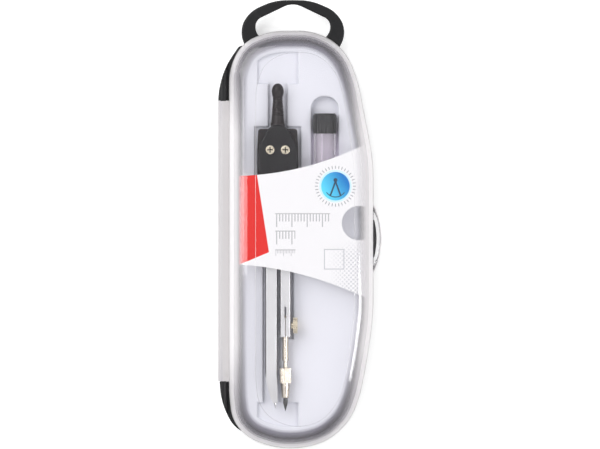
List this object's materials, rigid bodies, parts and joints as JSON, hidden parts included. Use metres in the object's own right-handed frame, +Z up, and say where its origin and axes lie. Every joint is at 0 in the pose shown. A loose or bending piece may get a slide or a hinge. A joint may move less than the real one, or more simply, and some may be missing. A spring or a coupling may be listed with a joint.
{
  "type": "drafting compass set",
  "caption": "Geared bow compass with needle leg and lead-holder leg, and a tube of spare leads, in a long hinged pocket case with clear lid, label card, moulded tray and hanging loop.",
  "frame": {"origin": "centre of the bounding box, on the underside of the case base", "axes": "+Y along the case towards its hanging loop, +X across it from the hinge to the thumb tab, +Z up through the lid"},
  "size_m": [0.0698, 0.1914, 0.02],
  "materials": {
    "case_black": "moulded, fine texture",
    "loop_black": "moulded, fine texture",
    "lid_clear": "clear polished styrene",
    "card_print": "printed paper card",
    "tray_lilac": "satin vacuum-formed",
    "yoke_black": "satin moulded",
    "grip_black": "satin moulded",
    "screw_nickel": "warm nickel plate",
    "block_black": "satin moulded",
    "leg_silver": "satin plated",
    "needle_steel": "polished",
    "holder_champagne": "champagne nickel over brass",
    "graphite": "graphite",
    "tube_clear": "clear moulded",
    "cap_black": "satin moulded, ribbed"
  },
  "bodies": {
    "case": {"case_base": "case_black", "hang_loop": "loop_black", "tray": "tray_lilac", "yoke_front": "yoke_black", "yoke_rear": "yoke_black", "grip": "grip_black", "pivot_screw_left": "screw_nickel", "pivot_screw_right": "screw_nickel", "pivot_nut_left": "screw_nickel", "pivot_nut_right": "screw_nickel", "lead_tube": "tube_clear", "spare_lead_1": "graphite", "spare_lead_2": "graphite"},
    "lid": {"lid": "lid_clear", "label_card": "card_print"},
    "needle_leg": {"needle_block": "block_black", "needle_leg": "leg_silver", "needle_point": "needle_steel"},
    "lead_leg": {"lead_block": "block_black", "lead_leg": "leg_silver"},
    "thumb_screw": {"thumb_screw": "screw_nickel"},
    "lead_holder": {"lead_holder": "holder_champagne"},
    "collet_nut": {"collet_nut": "holder_champagne"},
    "lead_stick": {"lead_stick": "graphite"},
    "tube_cap": {"tube_cap": "cap_black"}
  },
  "joints": [
    {"name": "lid_hinge", "type": "hinge", "parent": "case", "child": "lid", "pos_m": [-0.0327, -0.0073, 0.01], "axis": [0, -1, 0], "range_deg": [0, 178]},
    {"name": "needle_leg_swing", "type": "hinge", "parent": "case", "child": "needle_leg", "pos_m": [-0.01265, 0.0316, 0.0116], "axis": [0, 0, -1], "range_deg": [0, 6]},
    {"name": "lead_leg_swing", "type": "hinge", "parent": "case", "child": "lead_leg", "pos_m": [-0.00615, 0.0316, 0.0116], "axis": [0, 0, 1], "range_deg": [0, 6]},
    {"name": "thumb_turn", "type": "hinge", "parent": "lead_leg", "child": "thumb_screw", "pos_m": [-0.00376, -0.0433, 0.0116], "axis": [1, 0, 0], "range_deg": [0, 360]},
    {"name": "holder_slide", "type": "slide", "parent": "lead_leg", "child": "lead_holder", "axis": [0, -1, 0], "range_m": [0, 0.005]},
    {"name": "collet_turn", "type": "hinge", "parent": "lead_holder", "child": "collet_nut", "pos_m": [-0.00611, -0.06465, 0.0116], "axis": [0, 1, 0], "range_deg": [0, 360]},
    {"name": "lead_slide", "type": "slide", "parent": "lead_holder", "child": "lead_stick", "axis": [0, -1, 0], "range_m": [0, 0.005]},
    {"name": "cap_slide", "type": "slide", "parent": "case", "child": "tube_cap", "axis": [0, 1, 0], "range_m": [0, 0.005]}
  ],
  "couplings": [
    {"joint": "lead_leg_swing", "follows": "needle_leg_swing", "ratio": 1}
  ]
}
